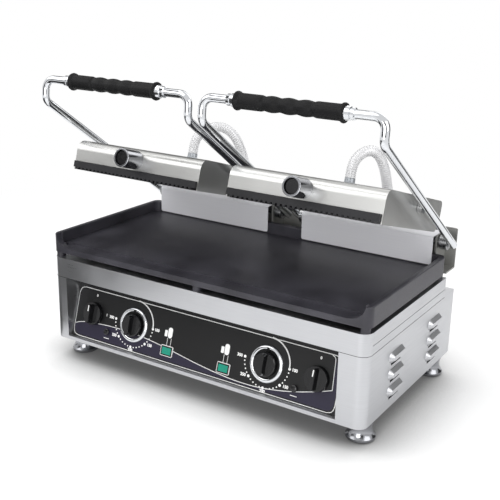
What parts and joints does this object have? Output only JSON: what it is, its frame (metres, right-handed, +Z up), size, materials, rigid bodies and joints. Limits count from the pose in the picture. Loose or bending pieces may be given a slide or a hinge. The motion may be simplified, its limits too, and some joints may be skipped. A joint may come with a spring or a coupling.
{
  "type": "contact grill",
  "caption": "Double contact grill: two spring-hinged floating ribbed upper plates over one cast lower plate, with a recessed control panel.",
  "frame": {"origin": "on the ground, under the middle of the outline from the grips to the cable gland", "axes": "+Z up, -Y to the front with the control panel, +X to the right seen from the front"},
  "size_m": [0.584, 0.3418, 0.4758],
  "materials": {
    "stainless": "brushed stainless sheet",
    "chrome": "polished chrome plate",
    "cast_plate": "black enamelled cast iron",
    "dark_steel": "grey painted steel",
    "panel_print": "satin black printed panel",
    "black_plastic": "moulded phenolic",
    "white_plastic": "white moulded bezel",
    "green_lens": "translucent green lens",
    "steel": "machined steel",
    "zinc_steel": "zinc plated sheet",
    "spring_steel": "oiled spring steel",
    "element": "annealed element tube",
    "conduit": "ribbed metal conduit",
    "rubber": "moulded rubber"
  },
  "bodies": {
    "base": {"base_housing": "stainless", "rear_panel": "stainless", "bottom_plate": "zinc_steel", "top_frame": "stainless", "heat_shield": "zinc_steel", "control_panel": "panel_print", "feet": "chrome", "foot_pads": "rubber", "lower_plate": "cast_plate", "plate_spacers": "steel", "hinge_carrier": "dark_steel", "carrier_glands": "steel", "lamp_bezels": "white_plastic", "thermostats": "black_plastic", "switches": "black_plastic", "safety_cutouts": "black_plastic", "terminal_block": "white_plastic", "cable_gland": "black_plastic", "lower_element_left": "element", "spring_cover_left": "stainless", "torsion_spring_left": "spring_steel", "pilot_lamp_left": "green_lens", "conduit_left": "conduit", "lower_element_right": "element", "spring_cover_right": "stainless", "torsion_spring_right": "spring_steel", "pilot_lamp_right": "green_lens", "conduit_right": "conduit"},
    "left_arm": {"handle_left": "chrome", "grip_left": "black_plastic", "ferrules_left": "chrome", "hinge_shaft_left": "steel", "pivot_pins_left": "steel"},
    "left_upper_unit": {"upper_plate_left": "cast_plate", "lid_cover_left": "stainless", "lid_element_left": "element", "lid_knob_left": "chrome", "lid_knob_cap_left": "black_plastic", "lid_gland_left": "steel"},
    "left_thermostat": {"thermostat_ring_left": "chrome", "thermostat_knob_left": "black_plastic"},
    "left_switch": {"switch_knob_left": "black_plastic"},
    "left_reset": {"reset_button_left": "black_plastic"},
    "right_arm": {"handle_right": "chrome", "grip_right": "black_plastic", "ferrules_right": "chrome", "hinge_shaft_right": "steel", "pivot_pins_right": "steel"},
    "right_upper_unit": {"upper_plate_right": "cast_plate", "lid_cover_right": "stainless", "lid_element_right": "element", "lid_knob_right": "chrome", "lid_knob_cap_right": "black_plastic", "lid_gland_right": "steel"},
    "right_thermostat": {"thermostat_ring_right": "chrome", "thermostat_knob_right": "black_plastic"},
    "right_switch": {"switch_knob_right": "black_plastic"},
    "right_reset": {"reset_button_right": "black_plastic"}
  },
  "joints": [
    {"name": "left_arm_hinge", "type": "hinge", "parent": "base", "child": "left_arm", "pos_m": [-0.149, 0.12419, 0.231], "axis": [1, 0, 0], "range_deg": [0, 35.08], "stiffness_Nm_per_rad": 3.4, "springref_deg": -171.89, "deforming": ["conduit_left"]},
    {"name": "left_unit_pivot", "type": "hinge", "parent": "left_arm", "child": "left_upper_unit", "pos_m": [-0.149, 0.00677, 0.31261], "axis": [1, 0, 0], "range_deg": [-18.9, 0]},
    {"name": "left_thermostat_turn", "type": "hinge", "parent": "base", "child": "left_thermostat", "pos_m": [-0.132, -0.14494, 0.08408], "axis": [0, 0.9563, -0.2924], "range_deg": [0, 270]},
    {"name": "left_switch_turn", "type": "hinge", "parent": "base", "child": "left_switch", "pos_m": [-0.216, -0.14494, 0.08408], "axis": [0, 0.9563, -0.2924], "range_deg": [0, 90]},
    {"name": "left_reset_press", "type": "slide", "parent": "base", "child": "left_reset", "axis": [0, 0.9563, -0.2924], "range_m": [0, 0.002], "stiffness_N_per_m": 300, "springref_m": -0.003},
    {"name": "right_arm_hinge", "type": "hinge", "parent": "base", "child": "right_arm", "pos_m": [0.149, 0.12419, 0.231], "axis": [1, 0, 0], "range_deg": [0, 35.08], "stiffness_Nm_per_rad": 3.4, "springref_deg": -171.89, "deforming": ["conduit_right"]},
    {"name": "right_unit_pivot", "type": "hinge", "parent": "right_arm", "child": "right_upper_unit", "pos_m": [0.149, 0.00677, 0.31261], "axis": [1, 0, 0], "range_deg": [-18.9, 0]},
    {"name": "right_thermostat_turn", "type": "hinge", "parent": "base", "child": "right_thermostat", "pos_m": [0.118, -0.14494, 0.08408], "axis": [0, 0.9563, -0.2924], "range_deg": [0, 270]},
    {"name": "right_switch_turn", "type": "hinge", "parent": "base", "child": "right_switch", "pos_m": [0.202, -0.14494, 0.08408], "axis": [0, 0.9563, -0.2924], "range_deg": [0, 90]},
    {"name": "right_reset_press", "type": "slide", "parent": "base", "child": "right_reset", "axis": [0, 0.9563, -0.2924], "range_m": [0, 0.002], "stiffness_N_per_m": 300, "springref_m": -0.003}
  ],
  "couplings": [
    {"joint": "left_unit_pivot", "follows": "left_arm_hinge", "ratio": -0.53535},
    {"joint": "right_unit_pivot", "follows": "right_arm_hinge", "ratio": -0.53535}
  ]
}
